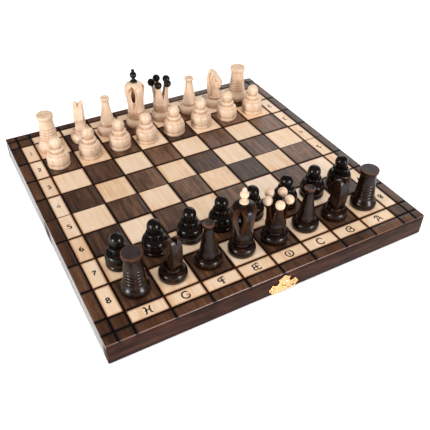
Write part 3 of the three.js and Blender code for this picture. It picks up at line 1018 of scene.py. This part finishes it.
knight = spun("knight", KNIGHT_FOOT)
head = bezier("head", HEAD, closed=True)
fill_between(head, HEAD_THICKNESS / 2, HEAD_ROUND, 2)
bpy.ops.object.convert(target="MESH")
tidy_mesh(head)
head.data.materials.append(natural)
knight.data.materials.append(natural)
ear_v = side_outline((0, EAR_V_BOTTOM, 1), (EAR_V_HALF, EAR_V_TOP, 1), (-EAR_V_HALF, EAR_V_TOP, 1))
vee = bezier("vee", ear_v, closed=True)
fill_between(vee, 12)
bpy.ops.object.convert(target="MESH")
cut(head, cutter(tidy_mesh(vee), sawn_natural, spin_matrix(90, "Y")))
for face in (-1, 1):
    for route, radius in CARVING:
        lift = Matrix.Translation((0, 0, face * HEAD_THICKNESS / 2 * MM))
        cut(head, cutter(gouge("gouge", route, radius), natural, lift))
head.data.transform(spin_matrix(90, "X"))
cut(knight, head, "UNION")
tidy_mesh(knight, 30)
print("faces of a knight:", len(knight.data.polygons))

# %% [markdown]
# The queen's beads and the king's finial are small turned pieces of the other colour. A bead keeps the
# little ring that shows where it was cut off the rod.

# %% Beads and finial
BEAD_R = 4
BEAD_RING_R = 9.2
BEAD_HEIGHT = 43.3
BEAD_TILT = 62
FINIAL_FOOT = 50.7


def arc(radius, height, start, end, count):
    """Round knots on a circle's side, between two latitudes in degrees."""
    angles = [math.radians(start + (end - start) * i / (count - 1)) for i in range(count)]
    return [(radius * math.cos(a), height + radius * math.sin(a)) for a in angles]


bead = spun(
    "bead",
    knots(
        (0, -BEAD_R), *arc(BEAD_R, 0, -70, 66, 8), (1.5, 3.72, 1), (1.35, 3.6, 1), (1.2, 3.78, 1), (0, 3.9),
    ),
    32,
)
bead_places = [
    spin_matrix(i * 360 / PRONGS) @ Matrix.Translation(Vector((BEAD_RING_R, 0, BEAD_HEIGHT)) * MM)
    @ spin_matrix(BEAD_TILT, "Y")
    for i in range(PRONGS)
]
beads = join("beads", [copy_of(bead, "bead_copy", place) for place in bead_places])
finial = spun(
    "finial",
    knots(
        (0, 0, 1), (3.6, 0, 1), (3.7, 0.5), (3.3, 1.6, 1), (2.3, 2.6), (1.7, 3.9), (2, 4.7, 1),
        *arc(3.6, 7.6, -46, 46, 5), (1.9, 10.5, 1), (1.5, 11), *arc(1.8, 12.2, -30, 60, 4), (0, 13.8),
    ),
    40,
)
finial.data.transform(Matrix.Translation((0, 0, FINIAL_FOOT * MM)))

# %% [markdown]
# The groove and edge tones follow the shape. Where the neighbours of a point lie in front of its face the
# point is in a groove, and where they lie behind it the point is on an edge. That is measured at every
# point and kept as the colour attribute turning. The groove tone, pooled stain with painted shade, spreads a
# little out of a groove, so an edge beside a fine groove gets no edge tone. The edge tone is rubbed wear on
# the dark pieces and a painted highlight on the natural ones. The knight's carving is fine all over, so it
# gets less edge tone too.

# %% Groove and edge attribute
GROOVE_GAIN = 4.0
EDGE_GAIN = 4.5
KNIGHT_EDGE_GAIN = 0.7
FLAT_BIAS = 0.05
SPREAD = 0.25


def mark_turning(piece, edge_gain=EDGE_GAIN):
    shape = bmesh.new()
    shape.from_mesh(piece.data)
    marks = []
    for point in shape.verts:
        ways = [(edge.other_vert(point).co - point.co).normalized() for edge in point.link_edges]
        bend = sum(point.normal.dot(way) for way in ways) / max(len(ways), 1)
        marks.append((
            min(max((bend - FLAT_BIAS) * GROOVE_GAIN, 0), 1),
            min(max((-bend - 2 * FLAT_BIAS) * edge_gain, 0), 1),
        ))
    turning = piece.data.color_attributes.new("turning", "FLOAT_COLOR", "POINT")
    for point, (hollow, ridge), mark in zip(shape.verts, marks, turning.data):
        # Painted shade and stain of a groove spread to its neighbours and hold back their edge tone.
        nearby = max(marks[edge.other_vert(point).index][0] for edge in point.link_edges)
        mark.color = (max(hollow, SPREAD * nearby), ridge * (1 - nearby), 0, 1)
    shape.free()


shapes = {"pawn": pawn, "rook": rook, "bishop": bishop, "knight": knight, "queen": queen, "king": king}
for shape in (*shapes.values(), beads, finial):
    mark_turning(shape, KNIGHT_EDGE_GAIN if shape == knight else EDGE_GAIN)

# %% [markdown]
# Each copy goes where the frame's plain piece stands: the lowest ring of that piece gives the axis and the
# height. The pieces are set down by hand, so each is turned its own way; only the knights, queens and kings
# show it.

# %% Set up the chessmen
HEADINGS = {
    "dark_knight_g8": 100, "dark_knight_b8": 90, "white_knight_g1": -112, "white_knight_b1": -35,
    "dark_queen_d8": 248, "white_queen_d1": 234, "dark_king_e8": -141, "white_king_e1": -127,
}
PIECE_TURN = 47
SIDES = {
    "dark": (ebonised_thin, ebonised, sawn_ebonised, end_ebonised, natural),
    # On the white side the hollow's finish is the bore with painted shade.
    "white": (natural, bored_natural_painted_shade, natural, end_natural, ebonised),
}
TRIMS = {
    "queen": (beads, "queen_beads", None),
    "king": (finial, "king_spire", "{side}_king_finial"),
}


def seat_of(node):
    """The middle of the lowest ring of a CAD node's points."""
    points = [v.co for v in frame["nodes"][node].data.vertices]
    foot = min(p.z for p in points)
    ring = [p for p in points if p.z < foot + TINY]
    xs, ys = [p.x for p in ring], [p.y for p in ring]
    return Vector(((min(xs) + max(xs)) / 2, (min(ys) + max(ys)) / 2, foot))


def dress(piece, finishes):
    """Put this side's finishes in the slots that the shape was made with."""
    if not piece.data.materials:
        piece.data.materials.append(None)
    for i, finish in zip(range(len(piece.data.materials)), finishes):
        piece.data.materials[i] = finish


def stand_on_board(node):
    side, kind, square = node.split("_")
    wood, hollow, sawn, end, contrast = SIDES[side]
    if kind == "pawn" and side == "dark":
        wood = ebonised
    turn = spin_matrix(HEADINGS.get(node, PIECE_TURN * (ord(square[0]) + int(square[1]))))
    place = Matrix.Translation(seat_of(node)) @ turn
    piece = copy_of(shapes[kind], f"{side}_{kind}_turned_{square}", place)
    top = end if kind in ("rook", "bishop") else sawn if kind == "knight" else hollow
    dress(piece, (wood, top, sawn))
    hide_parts(node)
    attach(piece, node)
    if kind in TRIMS:
        shape, trim_name, stands_for = TRIMS[kind]
        trim = copy_of(shape, f"{side}_{trim_name}", place)
        dress(trim, (contrast,))
        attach(trim, node)
        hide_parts(stands_for.format(side=side) if stands_for else node)


chessmen = [name for name in frame["bodies"] if name.split("_")[0] in SIDES]
for node in chessmen:
    stand_on_board(node)
for shape in (*shapes.values(), beads, finial, bead):
    bpy.data.objects.remove(shape)
print("chessmen:", len(chessmen))

# %% [markdown]
# ## Lining
# Felt is glued under each playing panel, so that the chessmen don't rattle when they are packed inside.

# %% Felt
FELT_ARRIS = 0.25
for prefix in ("front", "back"):
    node = prefix + "_felt_lining"
    low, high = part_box(node)
    cloth = new_box(prefix + "_felt", low, high)
    bevel_edges(cloth, FELT_ARRIS * MM, 2, lambda a, b: max(a.z, b.z) < low.z + TINY)
    cloth.data.materials.append(felt)
    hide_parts(node)
    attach(cloth, prefix + "_half")

# %% [markdown]
# ## Catch
# The catch on the front wall is stamped from thin brass sheet. The stamp cuts the outline with its cusps,
# and raises a round boss that the hasp clicks over, three scrolls on each side and a bead in each cusp.
# Half of it is drawn and mirrored: an outline that is extruded and bevelled, with half-sunk tubes and beads
# on its face.

# %% Catch plate
PLATE_THICKNESS = 0.8
PLATE_ROUND = 0.2
HALF_OUTLINE = [
    (3, 0.6), (7, 1), (10.6, 0, 1), (12, 3.2), (14, 5.8, 1), (12.4, 8.4), (10.6, 11.2, 1), (8.6, 10),
    (6.4, 9.6), (4.9, 11.4), (5.6, 15.2, 1), (3, 16.2), (0, 18.4, 1),
]
SCROLLS = [
    [(3.6, 2.6), (6.6, 2.4), (9.8, 3.6), (11.4, 6), (10.8, 8), (9, 8.6)],
    [(2.2, 9.6), (3.4, 11.6), (3.2, 13.8), (1.4, 14.8)],
    [(6.2, 5), (7.4, 6.6), (6.6, 8)],
]
SCROLL_R = 0.38
BEADS = [(12.6, 5.8), (10.4, 10.1), (9.9, 1.3), (4.5, 14.4)]
BEAD_ON_PLATE_R = 0.6
BOSS_HEIGHT = 6
BOSS = knots(
    (0, -0.4, 1), (3.7, -0.4, 1), (3.6, 0.1), (3, 0.38), (2.4, 0.15, 1), (1.8, 0.2, 1), (1.6, 1.1),
    (1.1, 1.6), (0, 1.78),
)
NAIL = knots(
    (0, -4.9, 1), (0.45, -4.3, 1), (0.45, -0.3, 1), (1.15, -0.3, 1), (1.15, 0.1), (0.8, 0.5), (0, 0.65),
)
NAIL_X = 9.6
NAIL_HEIGHT = 6.7


def mirrored(points):
    return [(-x, *rest) for x, *rest in points]


def stamped_outline(name, outline, thickness, rounding):
    """A flat plate on the XY plane, with its face at height 0."""
    plate = bezier(name, side_outline(*outline), closed=True)
    fill_between(plate, thickness / 2, rounding, 1)
    bpy.ops.object.convert(target="MESH")
    plate.data.transform(Matrix.Translation((0, 0, -thickness / 2 * MM)))
    return tidy_mesh(plate)


def on_plate(piece, x, height):
    piece.data.transform(Matrix.Translation((x * MM, height * MM, 0)))
    return piece


catch_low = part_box("catch_plate")[0]
foot = Vector((0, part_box("front_outer_wall")[0].y - (PLATE_THICKNESS + 0.1) * MM, catch_low.z))
catch_place = Matrix.Translation(foot) @ spin_matrix(90, "X")
whole_outline = HALF_OUTLINE + mirrored(HALF_OUTLINE[-2::-1])
plate_parts = [stamped_outline("catch", whole_outline, PLATE_THICKNESS, PLATE_ROUND)]
for route in SCROLLS:
    plate_parts += [gouge("scroll", route, SCROLL_R), gouge("scroll", mirrored(route), SCROLL_R)]
plate_parts.append(on_plate(spun("boss", BOSS), 0, BOSS_HEIGHT))
for x, height in [*BEADS, *mirrored(BEADS)]:
    dome = knots((0, -0.3, 1), *arc(BEAD_ON_PLATE_R, 0, -20, 70, 4), (0, BEAD_ON_PLATE_R))
    plate_parts.append(on_plate(spun("dome", dome, 16), x, height))
catch = join("stamped_catch", plate_parts)
catch.data.transform(catch_place)
stand_ins = [(catch, "catch_plate")]
for side, x in (("left", -NAIL_X), ("right", NAIL_X)):
    nail = on_plate(spun(f"catch_{side}_brad", NAIL, 20), x, NAIL_HEIGHT)
    nail.data.transform(catch_place)
    stand_ins.append((nail, f"catch_{side}_nail"))
for piece, node in stand_ins:
    piece.data.materials.append(brass)
    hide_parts(node)
    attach(piece, "front_half")
print("faces of the catch:", len(catch.data.polygons))

# %% [markdown]
# The hinges, the hasp with its plate and the pins keep the frame's shape. The pins are steel and the rest
# is brass.

# %% Metal of the carried-over nodes
for name, piece in frame["nodes"].items():
    if "hinge" in name or name.startswith("hasp"):
        piece.data.materials.clear()
        piece.data.materials.append(steel if name.endswith("_pin") else brass)

# %% [markdown]
# ## Studio
# The set stands on a pale floor that is evenly lit. Two low softboxes stand 48 degrees to the left and
# right of the camera, and give every glossy bulge its two highlights. A broad light behind the board puts a
# sheen on its far side. The light from above is cross-polarised, as in a product studio, so it lights the
# wood without a reflection.

# %% Floor
FLOOR_SIZE = 8
FLOOR_GAP = 0.1 * MM
bpy.ops.mesh.primitive_plane_add(size=FLOOR_SIZE, location=(0, 0, cad_low.z - FLOOR_GAP))
floor = bpy.context.object
floor.name = "floor"
paper = new_material("studio_paper")
glow = {"Roughness": 0.9, "Emission Color": linear("#FFFFFF"), "Emission Strength": 0.45}
surface(paper, linear("#F4F4F4"), glow)
floor.data.materials.append(paper)
floor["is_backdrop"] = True

# %% Lights
LIGHT_TARGET = Vector((0, -0.05, BOARD_TOP + 0.02))
CAMERA_AZIMUTH = math.degrees(math.atan2(CAMERA_PLACE.y - CAMERA_AIM.y, CAMERA_PLACE.x - CAMERA_AIM.x))
SOFTBOX_TURN = 48


def softbox(name, azimuth, elevation, distance, width, height, power):
    """A rectangular lamp: its direction in degrees, distance and sides in metres, power in watts."""
    a, e = math.radians(azimuth), math.radians(elevation)
    way = Vector((math.cos(e) * math.cos(a), math.cos(e) * math.sin(a), math.sin(e)))
    bpy.ops.object.light_add(type="AREA", location=LIGHT_TARGET + way * distance)
    light = bpy.context.object
    light.name = name
    light.rotation_mode = "QUATERNION"
    light.rotation_quaternion = way.to_track_quat("Z", "Y")
    light.data.shape = "RECTANGLE"
    light.data.size, light.data.size_y = width, height
    light.data.energy = power
    return light


for name, turn in (("left_softbox", -SOFTBOX_TURN), ("right_softbox", SOFTBOX_TURN)):
    softbox(name, CAMERA_AZIMUTH + turn, 10, 1.3, 0.34, 0.34, 12)
softbox("back_light", 45, 24, 1.6, 1.2, 0.6, 6)
top_light = softbox("top_light", CAMERA_AZIMUTH, 78, 1.6, 1.2, 1.2, 21)
top_light.visible_glossy = False

world = bpy.data.worlds.new("studio")
bpy.context.scene.world = world
world.use_nodes = True
world.node_tree.nodes["Background"].inputs["Color"].default_value = linear("#FFFFFF")
world.node_tree.nodes["Background"].inputs["Strength"].default_value = 0.15
bpy.context.scene.view_settings.view_transform = "Standard"

# %% [markdown]
# The looks may not outgrow the frame, so both boxes are written down for comparison.

# %% Print the size of the looks
low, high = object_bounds()
print("visual box in metres:", [round(v, 4) for v in (*low, *high)])
